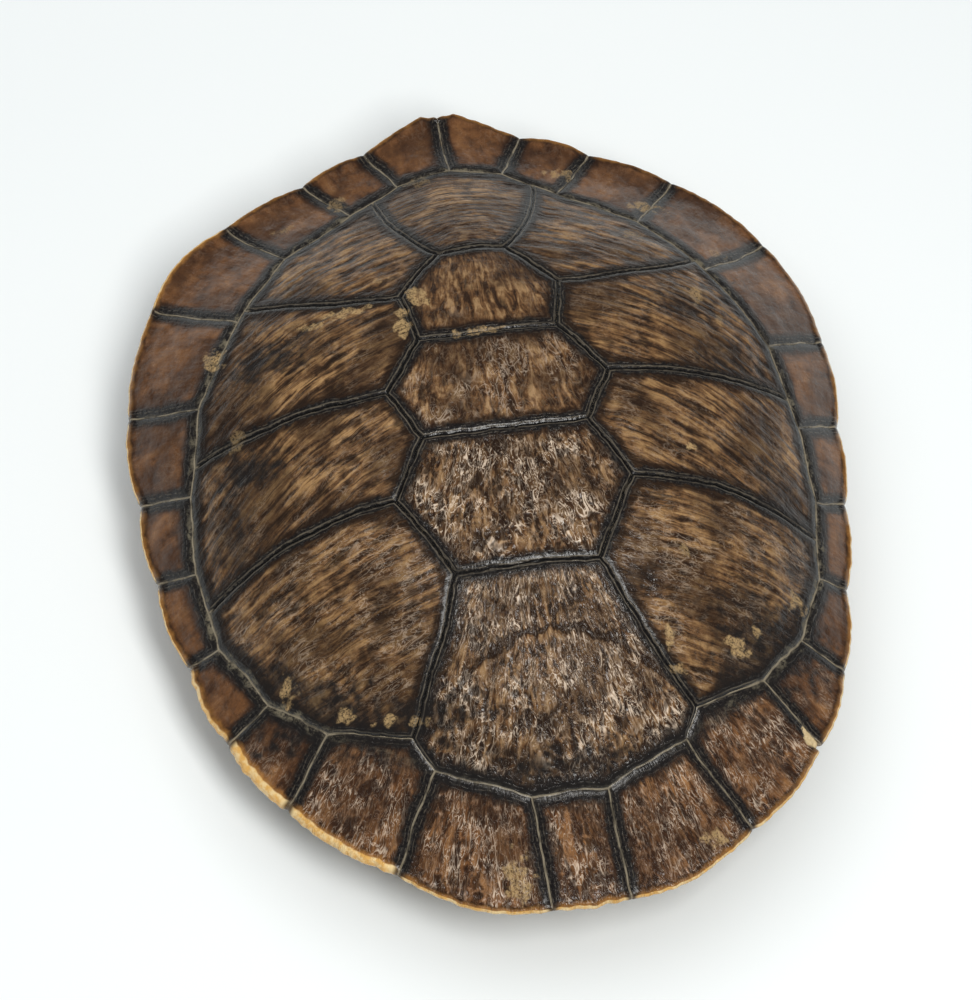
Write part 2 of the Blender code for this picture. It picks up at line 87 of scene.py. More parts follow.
TOP_STEP = 0.45           # spacing of the points on the upper surface, mm
LOW_STEP = 1.0            # the same on the plastron
EDGE_RINGS = (0.0, 0.13, 0.32, 0.6, 0.95)      # distances of the rows of points beside a seam, mm
JOIN = 0.03               # half the gap left between two scutes' walls
DEEPEST = SCUTE_THICK - 0.15   # the relief never cuts through a scute, mm
RIM_ROUND, RIM_DROP = 1.5, 1.1  # reach and height of the rounded upper edge of the rim, mm
RIM_BEND = 7.0            # seams stop wandering this near the rim, mm
NO_RIM = 99.0             # the distance to the rim of a point that is nowhere near it, mm


# ---- smooth noise ----
def lattice(i, j, seed):
    h = (i.astype(np.int64) * 374761393 + j.astype(np.int64) * 668265263 + seed * 2246822519) & 0xFFFFFFFF
    h = ((h ^ (h >> 13)) * 1274126177) & 0xFFFFFFFF
    return ((h ^ (h >> 16)) & 0xFFFF) / 65536.0


def noise(x, y, seed=0):
    """Gradient noise, about -1 to 1."""
    i, j = np.floor(x), np.floor(y)
    fx, fy = x - i, y - j
    u, v = (f * f * f * (f * (f * 6 - 15) + 10) for f in (fx, fy))

    def corner(di, dj):
        turn = 2 * np.pi * lattice(i + di, j + dj, seed)
        return np.cos(turn) * (fx - di) + np.sin(turn) * (fy - dj)
    low = corner(0, 0) * (1 - u) + corner(1, 0) * u
    high = corner(0, 1) * (1 - u) + corner(1, 1) * u
    return 1.5 * (low * (1 - v) + high * v)


def fractal(x, y, seed=0, octaves=4):
    total = 0.0
    for k in range(octaves):
        total = total + noise(x * 2 ** k, y * 2 ** k, seed + 17 * k) * 0.5 ** k
    return total


def threads(u, v, seed, sharpness=4.0):
    """Thin raised lines that wander and loop, 0 to 1."""
    du = 0.6 * noise(u * 0.6, v * 0.9, seed + 5)
    return ease(1 - sharpness * np.abs(noise(u + du, v, seed)))


def ease(v):
    v = np.clip(v, 0.0, 1.0)
    return v * v * (3 - 2 * v)


# ---- plan geometry ----
def edge(start, end, bow=0.0, spacing=2.0):
    """Points from start up to but not including end, bowed to the left by bow at the middle."""
    start, end = np.array(start), np.array(end)
    along = end - start
    length = np.hypot(*along)
    left = np.array((-along[1], along[0])) / length
    steps = max(1, round(length / spacing))
    return [tuple(start + along * s + left * 4 * bow * s * (1 - s)) for s in np.arange(steps) / steps]


def mirrored(points):
    return [(-x, y) for x, y in points]


def segment_distance(points, a, b):
    a, b = np.array(a), np.array(b)
    share = np.clip((points - a) @ (b - a) / ((b - a) @ (b - a)), 0, 1)
    return np.hypot(*(a + share[:, None] * (b - a) - points).T)


def outline_distance(points, outline):
    """Distance to the nearest side of a closed outline."""
    best = np.full(len(points), 1e9)
    for a, b in zip(outline, outline[1:] + outline[:1]):
        best = np.minimum(best, segment_distance(points, a, b))
    return best


def inside(points, outline):
    x, y = points.T
    odd = np.zeros(len(points), bool)
    for (ax, ay), (bx, by) in zip(outline, outline[1:] + outline[:1]):
        if ay == by:
            continue
        crosses = ((ay > y) != (by > y)) & (x < ax + (y - ay) / (by - ay) * (bx - ax))
        odd ^= crosses
    return odd


def warp(points, weight=1.0):
    """Seams wander a little; every scute is bent by the same field, so neighbours still meet."""
    x, y = points.T
    dx = 0.55 * noise(x / 11, y / 11, 3) + 0.22 * noise(x / 3.1, y / 3.1, 5)
    dy = 0.55 * noise(x / 11, y / 11, 4) + 0.22 * noise(x / 3.1, y / 3.1, 6)
    return points + np.stack((dx, dy), 1) * np.reshape(weight, (-1, 1))


def smooth_through(knots, values, at):
    slopes = np.gradient(values, knots)
    slopes[0] = slopes[-1] = 0.0
    i = np.clip(np.searchsorted(knots, at) - 1, 0, len(knots) - 2)
    step = knots[i + 1] - knots[i]
    s = (at - knots[i]) / step
    ends = values[i] * (1 + 2 * s) * (1 - s) ** 2 + values[i + 1] * s * s * (3 - 2 * s)
    return ends + step * (slopes[i] * s * (1 - s) ** 2 - slopes[i + 1] * s * s * (1 - s))


def rim_distance(angle):
    x, y = np.array(RIM_SEAMS[::-1] + [(0.0, -HALF_LENGTH)]).T
    return smooth_through(np.arctan2(x, y), np.hypot(x, y), angle)


def dome_height(x, y):
    distance = np.hypot(x, y)
    angle = np.arctan2(np.abs(x), y)
    reach = np.clip(distance / rim_distance(angle), 0.0, 1.0)
    rear = np.clip(np.cos(angle), 0, 1) ** 2
    front = np.clip(-np.cos(angle), 0, 1) ** 2
    fullness = 1.6 - 0.30 * rear - 0.15 * front
    flare = 1.0 + 0.50 * rear + 0.15 * front
    crown = np.cos(0.5 * np.pi * reach ** fullness) ** flare
    lift = np.clip(-y / HALF_LENGTH, 0, 1) ** 2 * reach ** 3
    return RIM_LEVEL + DOME_RISE * crown + FRONT_RIM_LIFT * lift


def carapace_surface(points, depth):
    """Points at this depth below the dome, measured square to it."""
    x, y = points.T
    slope_x = dome_height(x + 0.5, y) - dome_height(x - 0.5, y)
    slope_y = dome_height(x, y + 0.5) - dome_height(x, y - 0.5)
    normal = np.stack((-slope_x, -slope_y, np.ones(len(x))), 1)
    normal /= np.linalg.norm(normal, axis=1)[:, None]
    return np.column_stack((x, y, dome_height(x, y))) - normal * np.reshape(depth, (-1, 1))


# ---- the marginal ring ----
def rim_edge(start, end, fullness):
    bulge = math.dist(start, end) ** 2 / (8 * RIM_RADIUS) + SCALLOP
    return edge(start, end, -bulge * fullness)


def along(points, shares):
    points = np.array(points)
    lengths = np.append(0.0, np.cumsum(np.hypot(*np.diff(points, axis=0).T)))
    return np.stack([np.interp(shares * lengths[-1], lengths, c) for c in points.T], 1)


def marginal_sides(number):
    i = number - 1
    fork = [RING_FORKS[number]] if number in RING_FORKS else []
    corners = [RING_SEAMS[i], *fork, RING_SEAMS[i + 1]]
    lobe = [TAIL_LOBE] if number == 12 else []
    outer = [RIM_SEAMS[i], *lobe, RIM_SEAMS[i + 1]]
    fullness = LOBE_FULLNESS if lobe else 1.0
    rim = [p for a, b in zip(outer, outer[1:]) for p in rim_edge(a, b, fullness)]
    return corners, rim + [outer[-1]]


def nuchal_sides():
    return tuple([(-seams[0][0], seams[0][1]), middle, seams[0]]
                 for seams, middle in ((RING_SEAMS, NUCHAL_REAR), (RIM_SEAMS, NUCHAL_FRONT)))


def bridge_weight(y):
    return ease((y + 60) / 20) * ease((44 - y) / 20)


def underside_height(inner, y):
    rim = RIM_LEVEL + FRONT_RIM_LIFT * np.clip(-y / HALF_LENGTH, 0, None) ** 2
    weight = bridge_weight(y)
    return weight * (rim - BRIDGE_DROP) + (1 - weight) * (inner - FREE_EDGE_DEPTH)


# ---- the plastron ----
def bridge_line():
    rows = []
    for number in range(3, 10):
        ring, rim = marginal_sides(number)
        shares = np.linspace(0, 1, 7)[:-1]
        below = along(ring, shares) * (1 - UNDERSIDE_REACH) + along(rim, shares) * UNDERSIDE_REACH
        outer = along(rim, shares)
        height = underside_height(dome_height(*below.T), outer[:, 1])
        rows += list(zip(below[:, 1], below[:, 0], height))
    return np.array(rows).T


BRIDGE = bridge_line()


def wing_edge(y):
    return np.interp(y, BRIDGE[0], BRIDGE[1]) - SEAM_GAP, np.interp(y, BRIDGE[0], BRIDGE[2]) - SEAM_GAP


def plastron_surface(points, depth):
    x, y = points.T
    edge_x, edge_z = wing_edge(y)
    share = np.clip((np.abs(x) - PLASTRON_FLAT) / (edge_x - PLASTRON_FLAT), 0, 1)
    wing = edge_z * (1 - np.cos(0.5 * np.pi * share ** 1.2))
    front = np.clip((-y - 72) / 25, 0, None) ** 2
    rear = np.clip((y - 60) / 29, 0, None) ** 2
    return np.column_stack((x, y, wing + LOBE_UPTURN * (front + rear) + depth))


# ---- outlines, anticlockwise from above ----
def junction(name):
    if name in SPINE:
        return SPINE[name]
    number = int(name[1:])
    return RING_SEAMS[number] if name[0] == "g" else RING_FORKS[number]


def run(names):
    points = []
    for a, b in zip(names, names[1:]):
        bow = SEAM_BOW.get((a, b), 0.0) - SEAM_BOW.get((b, a), 0.0)
        points += edge(junction(a), junction(b), bow)
    return points


def vertebral_outlines():
    chains = {
        1: ["g0", "g1", "f2", "n1"], 2: ["n1", "s2", "n2"], 3: ["n2", "s3", "n3"],
        4: ["n3", "s4", "n4"], 5: ["n4", "f11", "g11"],
    }
    outlines = {}
    for number, chain in chains.items():
        right = run(chain) + [junction(chain[-1])]
        rear = edge(right[-1], (-right[-1][0], right[-1][1]))[1:]
        front = edge((-right[0][0], right[0][1]), right[0])[1:]
        if number == 1:
            front = edge((-right[0][0], right[0][1]), NUCHAL_REAR)[1:] + edge(NUCHAL_REAR, right[0])
        elif number == 5:
            to_tail = edge(RING_SEAMS[11], RING_SEAMS[12])[1:] + [RING_SEAMS[12]]
            rear = to_tail + mirrored(to_tail[-2::-1])
        outlines[number] = right + rear + mirrored(right[::-1]) + front
    return outlines


def costal_outlines():
    chains = {
        1: ["n1", "f2", "g2", "g3", "g4", "f5", "s2", "n1"],
        2: ["s2", "f5", "g5", "g6", "f7", "s3", "n2", "s2"],
        3: ["s3", "f7", "g7", "g8", "f9", "s4", "n3", "s3"],
        4: ["s4", "f9", "g9", "g10", "f11", "n4", "s4"],
    }
    return {number: run(chain) for number, chain in chains.items()}


def wing_run(y0, y1):
    ys = np.linspace(y0, y1, max(2, round(abs(y1 - y0) / 3)))[:-1]
    return [(float(wing_edge(y)[0]), float(y)) for y in ys]


def plastral_outlines():
    mid = {name: (0.0, y) for name, y in MIDLINE_Y.items()}
    front, axle, mid_wing, rear = LOBE_FRONT, *[(float(wing_edge(y)[0]), y) for y in WING_Y]
    chains = {
        "gular": [front[1], front[2], GULAR_NOTCH, front[1]],
        "humeral": [mid["intergular"], GULAR_NOTCH, front[2], front[3], front[4], AXILLA, mid["humeral"],
                    mid["intergular"]],
        "pectoral": [mid["humeral"], AXILLA, axle, mid_wing, mid["pectoral"], mid["humeral"]],
        "abdominal": [mid["pectoral"], mid_wing, rear, INGUEN, mid["abdominal"], mid["pectoral"]],
        "femoral": [mid["abdominal"], INGUEN, LOBE_REAR[0], LOBE_REAR[1], mid["femoral"], mid["abdominal"]],
        "anal": [mid["femoral"], LOBE_REAR[1], LOBE_REAR[2], LOBE_REAR[3], mid["femoral"]],
    }
    wings = {(axle, mid_wing): wing_run(*WING_Y[:2]), (mid_wing, rear): wing_run(*WING_Y[1:])}
    outlines = {name: [p for pair in zip(chain, chain[1:]) for p in wings.get(pair) or edge(*pair)]
                for name, chain in chains.items()}
    right = edge(front[0], front[1]) + edge(front[1], GULAR_NOTCH) + edge(GULAR_NOTCH, mid["intergular"])
    return outlines, [*right, mid["intergular"], *mirrored(right[:0:-1])]


def placed(points):
    """World metres from plan millimetres: the head end leans to +X, and the whole sits on the CAD's box."""
    points = np.array(points, dtype=float)
    points[:, 0] += HEAD_SKEW * np.clip(-points[:, 1] / HALF_LENGTH, 0, 1) ** 2
    points[:, 1] -= MIDDLE_Y
    points *= UNIT
    return points + np.array((MIDDLE.x, MIDDLE.y, CAD_LOW.z))


# ---- relief: what each kind of scute's surface does ----
# For each scute: how its threads run, then the strengths of threads, streaks and grain. They fan out from a
# centre, run at an angle in degrees with a curve, or go round a centre in ellipses (angle and aspect).
FANS = {
    "vertebral_1": dict(centre=(2.0, -5.0), threads=1.0, streaks=0.25, grain=0.6),
    "vertebral_2": dict(centre=(0.0, 45.0), threads=1.0, streaks=0.3, grain=0.6),
    "vertebral_3": dict(centre=(0.0, 90.0), threads=0.40, streaks=0.3, grain=0.9),
    "vertebral_4": dict(centre=(0.0, 110.0), threads=0.10, streaks=0.1, grain=1.0),
    "vertebral_5": dict(centre=(0.0, 50.0), angle=90.0, aspect=0.7, threads=0.12, streaks=0.6, grain=0.9),
    "costal_1": dict(angle=-5.0, curve=0.002, threads=0.30, streaks=0.8, grain=1.0),
    "costal_2": dict(angle=-10.0, curve=0.0035, threads=0.16, streaks=1.0, grain=0.9),
    "costal_3": dict(angle=-12.0, curve=0.0035, threads=0.12, streaks=1.0, grain=0.9),
    "costal_4": dict(angle=-20.0, curve=0.004, threads=0.10, streaks=0.9, grain=0.9),
    "nuchal": dict(centre=(0.0, -40.0), threads=0.9, streaks=0.3, grain=0.6),
    "marginal_1": dict(centre=(10.0, -50.0), threads=0.85, streaks=0.3, grain=0.7),
    "marginal_2": dict(centre=(20.0, -40.0), threads=0.75, streaks=0.4, grain=0.7),
    "marginal_3": dict(centre=(20.0, -30.0), threads=0.25, streaks=0.3, grain=0.6),
}
PLAIN_MARGINAL = dict(centre=(0.0, 0.0), threads=0.05, streaks=0.2, grain=0.5)
PLASTRAL = dict(angle=90.0, threads=0.03, streaks=0.3, grain=0.4)


def fan_of(name):
    for side in ("_right", "_left"):
        name = name.replace(side, "")
    return FANS.get(name, PLAIN_MARGINAL)


def grain_coordinates(points, fan, side):
    """Millimetres across and along the surface's own direction."""
    cx, cy = fan.get("centre", (0.0, 0.0))
    x, y = points[:, 0] * side - cx, points[:, 1] - cy
    if "angle" not in fan:
        return np.arctan2(x, -y) * 60.0, np.hypot(x, y)
    turn = math.radians(fan["angle"])
    lengthwise = x * math.cos(turn) + y * math.sin(turn)
    crosswise = y * math.cos(turn) - x * math.sin(turn)
    if "aspect" not in fan:
        return crosswise + fan.get("curve", 0.0) * lengthwise ** 2, lengthwise
    lengthwise = lengthwise / fan["aspect"]
    return np.hypot(lengthwise, crosswise), np.arctan2(crosswise, lengthwise) * 25.0


def relief(points, gap, fan, side, seed):
    """Depth below the smooth dome, and the raised share that colours follow, at this distance from a seam."""
    u, v = grain_coordinates(points, fan, side)
    x, y = points.T
    middle = ease((gap - 1.0) / 3.5)
    patchy = ease(0.55 + 1.1 * noise(x / 8, y / 8, seed + 2))
    wrinkle = threads(u / 3.2, v / 9.0, seed) * (0.5 + 0.5 * patchy)
    wrinkle = np.maximum(wrinkle, 0.75 * threads(u / 2.4, v / 3.6, seed + 1) * (1 - 0.5 * patchy))
    streak = fractal(u / 2.2, v / 14.0, seed + 3, 3)
    lumps = fractal(x / 6.0, y / 7.5, seed + 4, 3)
    grit = noise(x / 1.1, y / 1.1, seed + 6) + 0.6 * noise(x / 2.0, y / 2.0, seed + 7)
    lines = np.sin(2 * np.pi * gap / 0.95 + 1.8 * noise(x / 4, y / 4, seed + 8))
    border = ease((4.6 - gap) / 2.5)
    depth = 0.32 * np.exp(-gap / 0.5) + 0.38 * np.exp(-gap / 2.8) + 0.30 * np.exp(-gap / 7.0)
    depth += 0.05 * border * (1 + lines)
    depth += middle * fan["threads"] * 0.26 * (1 - wrinkle)
    depth += middle * fan["streaks"] * 0.17 * (1 - streak)
    rough = (0.16 + 0.16 * fan["threads"]) * (1 - lumps)
    depth += middle * rough + middle * fan["grain"] * 0.02 * (1.5 - grit)
    raised = 0.45 + 0.55 * fan["threads"] * (wrinkle - 0.45) + 0.30 * fan["streaks"] * streak + 0.16 * lumps
    return np.clip(depth, 0.0, DEEPEST), np.clip(raised, 0, 1) * middle


# Marks on the upper surface: plan x, y, reach along x and y, strength.
PALE_MARKS = [
    (-21.1, 33.5, 1.8, 4.5, 1.0), (-16.0, 41.8, 2.4, 3.6, 1.0), (-34.0, 40.5, 6.0, 1.6, 0.9),
    (-42.5, 39.0, 3.5, 1.5, 0.8), (-68.9, 38.6, 2.2, 3.6, 0.9), (-16.5, -105.0, 3.0, 5.0, 1.0),
    (-50.0, -62.0, 1.8, 1.8, 0.8), (-62.0, -52.0, 1.8, 3.4, 0.8), (-40.0, -66.0, 2.6, 1.2, 0.8),
    (-33.0, -67.5, 2.2, 1.2, 0.7), (49.1, -58.2, 3.0, 2.4, 1.0), (55.0, -53.5, 1.2, 1.4, 0.8),
    (32.0, -56.0, 1.6, 3.0, 0.8), (68.0, -44.0, 2.2, 2.8, 0.8), (39.0, -36.0, 1.2, 1.6, 0.6),
    (33.0, -63.0, 2.4, 1.2, 0.7), (-3.0, 27.8, 6.0, 1.1, 0.9), (-24.0, 51.0, 2.6, 1.3, 0.6),
    (56.0, 38.0, 2.0, 3.2, 0.6), (61.0, 30.0, 1.4, 2.4, 0.5), (30.0, 90.5, 4.0, 1.8, 0.7),
    (50.0, 76.0, 5.0, 2.0, 0.7), (44.0, 62.0, 3.0, 1.6, 0.5), (66.0, 58.0, 3.0, 2.0, 0.5),
    (35.0, -99.5, 4.0, 1.6, 0.9), (-66.0, 12.0, 2.0, 3.6, 0.5), (-46.0, 82.0, 3.0, 1.4, 0.5),
    (-30.5, 88.0, 2.2, 3.0, 0.6), (-9.0, 90.0, 3.0, 2.0, 0.5), (46.0, -8.6, 1.4, 1.0, 0.9),
]
DARK_MARKS = [
    (-55.4, 31.6, 9.0, 4.5, 1.0), (-63.5, 3.0, 8.0, 4.5, 1.0), (-58.0, -60.0, 12.0, 7.0, 1.0),
    (-38.0, -67.0, 17.0, 5.0, 0.95), (60.0, -56.0, 13.0, 8.0, 1.0), (62.0, 18.0, 8.0, 5.0, 0.7),
    (68.0, -20.0, 6.0, 7.0, 0.8), (53.0, -47.0, 10.0, 2.5, 0.6), (-70.0, -12.0, 5.0, 9.0, 0.7),
    (26.0, -42.0, 4.0, 3.0, 0.6), (56.0, 36.0, 9.0, 6.0, 0.6), (-48.0, 50.0, 9.0, 4.0, 0.6),
    (0.0, -83.0, 19.0, 4.0, 1.0),
]
# Golden patches in the horn; the marks on the right first marginal and on the nuchal are painted sheen.
GOLD_AND_SHEEN_MARKS = [
    (-36.0, 26.0, 11.0, 2.2, 0.9), (-44.0, 20.5, 10.0, 1.8, 1.0), (-58.0, 21.5, 6.0, 1.6, 0.8),
    (-41.0, 9.0, 9.0, 1.5, 0.9), (-35.0, 4.0, 9.0, 1.6, 0.9), (-50.0, -6.0, 11.0, 3.0, 0.6),
    (-40.0, -43.0, 12.0, 6.0, 0.5), (42.0, -30.0, 9.0, 5.0, 0.5),
    (36.0, 32.0, 12.0, 2.0, 0.5), (40.0, 20.0, 12.0, 2.0, 0.4), (0.0, 77.0, 16.0, 7.0, 0.9),
    (24.0, -86.0, 10.0, 8.0, 0.9), (3.0, -97.0, 6.0, 8.0, 0.8), (-15.0, -22.0, 6.0, 7.0, 0.5),
]


def marks(points, table, seed):
    """How far a point lies inside any mark, with ragged borders."""
    x, y = points.T
    rough = 0.8 * fractal(x / 2.4, y / 2.4, seed, 4)
    total = np.zeros(len(x))
    for cx, cy, rx, ry, strength in table:
        total = np.maximum(total, strength * ease(1.5 - np.hypot((x - cx) / rx, (y - cy) / ry) + rough))
    return total


def ring_distance(points):
    """Distance in plan to the seam between the marginals and the rest."""
    ring = [NUCHAL_REAR, *RING_SEAMS]
    best = np.full(len(points), 1e9)
    flat = np.column_stack((np.abs(points[:, 0]), points[:, 1]))
    for a, b in zip(ring, ring[1:]):
        best = np.minimum(best, segment_distance(flat, a, b))
    return best


# ---- meshes ----
def densified(outline, spacing):
    return np.array([p for a, b in zip(outline, outline[1:] + outline[:1]) for p in edge(a, b, 0.0, spacing)])


def inset(points, distance):
    """A dense anticlockwise outline moved inwards."""
    ahead = np.roll(points, -1, axis=0) - points
    ahead /= np.hypot(*ahead.T)[:, None]
    normal = np.stack((-ahead[:, 1], ahead[:, 0]), 1)
    mitre = normal + np.roll(normal, 1, axis=0)
    mitre /= np.maximum((mitre * normal).sum(1), 0.5)[:, None]
    return points + mitre * distance


def scatter(outline, step, clear):
    """A hexagonal grid of points inside an outline, kept clear of its sides."""
    low, high = np.array(outline).min(0), np.array(outline).max(0)
    rows = []
    for row, y in enumerate(np.arange(low[1], high[1], step * math.sqrt(0.75))):
        x = np.arange(low[0] + 0.5 * step * (row % 2), high[0], step)
        rows.append(np.column_stack((x, np.full(len(x), y))))
    grid = np.concatenate(rows)
    grid = grid[inside(grid, outline)]
    return grid[outline_distance(grid, outline) > clear]


def fill(border, inner):
    """Triangles between a closed border and the points inside it."""
    points = np.concatenate((border, inner)) if len(inner) else border
    found = delaunay_2d_cdt([Vector(p) for p in points], [], [list(range(len(border)))], 1, 1e-7)
    source = [origins[0] for origins in found[3]]
    return points, [tuple(source[i] for i in face) for face in found[2]]


def new_object(name, points, faces, material, attributes):
    mesh = bpy.data.meshes.new(name)
    mesh.from_pydata(placed(points).tolist(), [], faces)
    shape = bmesh.new()
    shape.from_mesh(mesh)
    bmesh.ops.recalc_face_normals(shape, faces=shape.faces[:])
    shape.to_mesh(mesh)
    shape.free()
    for key, values in attributes.items():
        if values.ndim == 1:
            mesh.attributes.new(key, "FLOAT", "POINT").data.foreach_set("value", values.astype(np.float32))
        else:
            data = mesh.attributes.new(key, "FLOAT_VECTOR", "POINT").data
            data.foreach_set("vector", values.astype(np.float32).ravel())
    mesh.shade_smooth()
    mesh.set_sharp_from_angle(angle=math.radians(75))
    mesh.materials.append(material)
    obj = bpy.data.objects.new(name, mesh)
    bpy.context.scene.collection.objects.link(obj)
    return obj


def stand_for(obj, node):
    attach(obj, "root")
    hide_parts(node)


def upper_attributes(points, gap, raised, fan, side, rim=None):
    """The values that the horn's material reads at each point of a scute's outer skin."""
    u, v = grain_coordinates(points, fan, side)
    ring = ring_distance(points)
    x, y = points.T
    dust = ease((1.2 + 1.1 * noise(x / 3, y / 3, 71) - ring) / 0.7)
    dust *= ease(0.7 + 0.9 * noise(x / 14, y / 14, 72))
    dust *= 0.15 + 0.85 * ease((y + 78) / 14)
    corner = np.exp(-((np.abs(x) - 57) ** 2 + (y + 57) ** 2) / 15.0 ** 2)
    reach = (3.4 if rim is not None else 4.2 + 8.0 * corner) + 1.8 * fractal(x / 5, y / 5, 73, 3)
    shade = ease((reach - ring) / 2.6) * (0.8 if rim is not None else 0.92)
    return {
        "gap": gap, "raised": raised, "grain": np.column_stack((u, v, np.zeros(len(u)))),
        "pale": marks(points, PALE_MARKS, 61), "dark": np.maximum(shade, marks(points, DARK_MARKS, 62)),
        "gold_and_sheen": marks(points, GOLD_AND_SHEEN_MARKS, 63), "dust": dust,
        "rim": np.full(len(x), NO_RIM) if rim is None else rim,
        "ring": ease(1.6 - ring), "chip": np.zeros(len(x)),
        "thread": fan["threads"] * ease((gap - 0.8) / 2.5),
    }


def make_plate(name, outline, surface, material, fan, side, seed, step, shape=None, marked=True):
    """A scute that lies on its bone, with a dense relief outside and a plain inside."""
    border = densified(outline, step)
    rings = [inset(border, d) for d in EDGE_RINGS]
    kept = [r[outline_distance(r, outline) > 0.9 * d] for r, d in zip(rings[1:], EDGE_RINGS[1:])]
    inner = np.concatenate([*kept, scatter(outline, step, EDGE_RINGS[-1] + 0.6 * step)])
    points, faces = fill(inset(border, JOIN), inner)
    gap = np.maximum(outline_distance(points, outline) - JOIN, 0.0)
    depth, raised = relief(points, gap, fan, side, seed)
    if shape:
        depth, raised = shape(points, gap, depth, raised)
    bent = warp(points)
    top = surface(bent, depth)
    under, under_faces = fill(points[:len(border)], scatter(outline, 8.0, 2.0))
    bottom = surface(warp(under), np.full(len(under), SCUTE_THICK))
    count = len(points)
    all_faces = list(faces) + [tuple(i + count for i in f[::-1]) for f in under_faces]
    rim = len(border)
    all_faces += [(i, (i + 1) % rim, (i + 1) % rim + count, i + count) for i in range(rim)]
    attributes = upper_attributes(points, gap, raised, fan, side)
    if not marked:
        for key in ("pale", "dark", "gold_and_sheen", "dust"):
            attributes[key] *= 0.0
    hidden = {k: np.zeros((len(under),) + v.shape[1:]) for k, v in attributes.items()}
    hidden["rim"] += NO_RIM
    merged = {k: np.concatenate((v, hidden[k])) for k, v in attributes.items()}
    obj = new_object(name, np.concatenate((top, bottom)), all_faces, material, merged)
    stand_for(obj, name)


def graded(length, step):
    """Distances from 0 to length, closer together at both ends."""
    near = [d for d in EDGE_RINGS if d < 0.4 * length]
    count = max(2, round((length - 2 * near[-1]) / step))
    return np.concatenate((near[:-1], np.linspace(near[-1], length - near[-1], count + 1),
                           length - np.array(near[-2::-1])))


# How far the rim is worn back, mm; where a corner is broken off: centre, reach; how wide its pale line is.
WORN = {"nuchal": 0.7, "marginal_left_1": 0.5, "marginal_right_1": 0.5, "marginal_left_2": 0.8,
        "marginal_left_3": 0.9, "marginal_left_4": 0.8, "marginal_right_2": 0.5}
CHIP = {"marginal_right_2": ((66.3, -75.6), 5.4)}
PALE_RIM = {"marginal_left_3": 1.7, "marginal_left_4": 0.5, "marginal_left_2": 1.3, "marginal_left_9": 0.4}


# Where the rim stands out from the mirrored outline: plan x, y, how far, reach.
RIM_OUT = [(-73.0, 77.0, 2.6, 17.0), (-26.0, -107.0, 2.2, 16.0), (24.0, -108.0, 0.8, 12.0),
           (0.0, 113.0, 1.7, 2.6), (33.0, 101.0, 1.0, 9.0)]


def stands_out(points):
    return sum(far * np.exp(-((points[:, 0] - x) ** 2 + (points[:, 1] - y) ** 2) / reach ** 2)
               for x, y, far, reach in RIM_OUT)


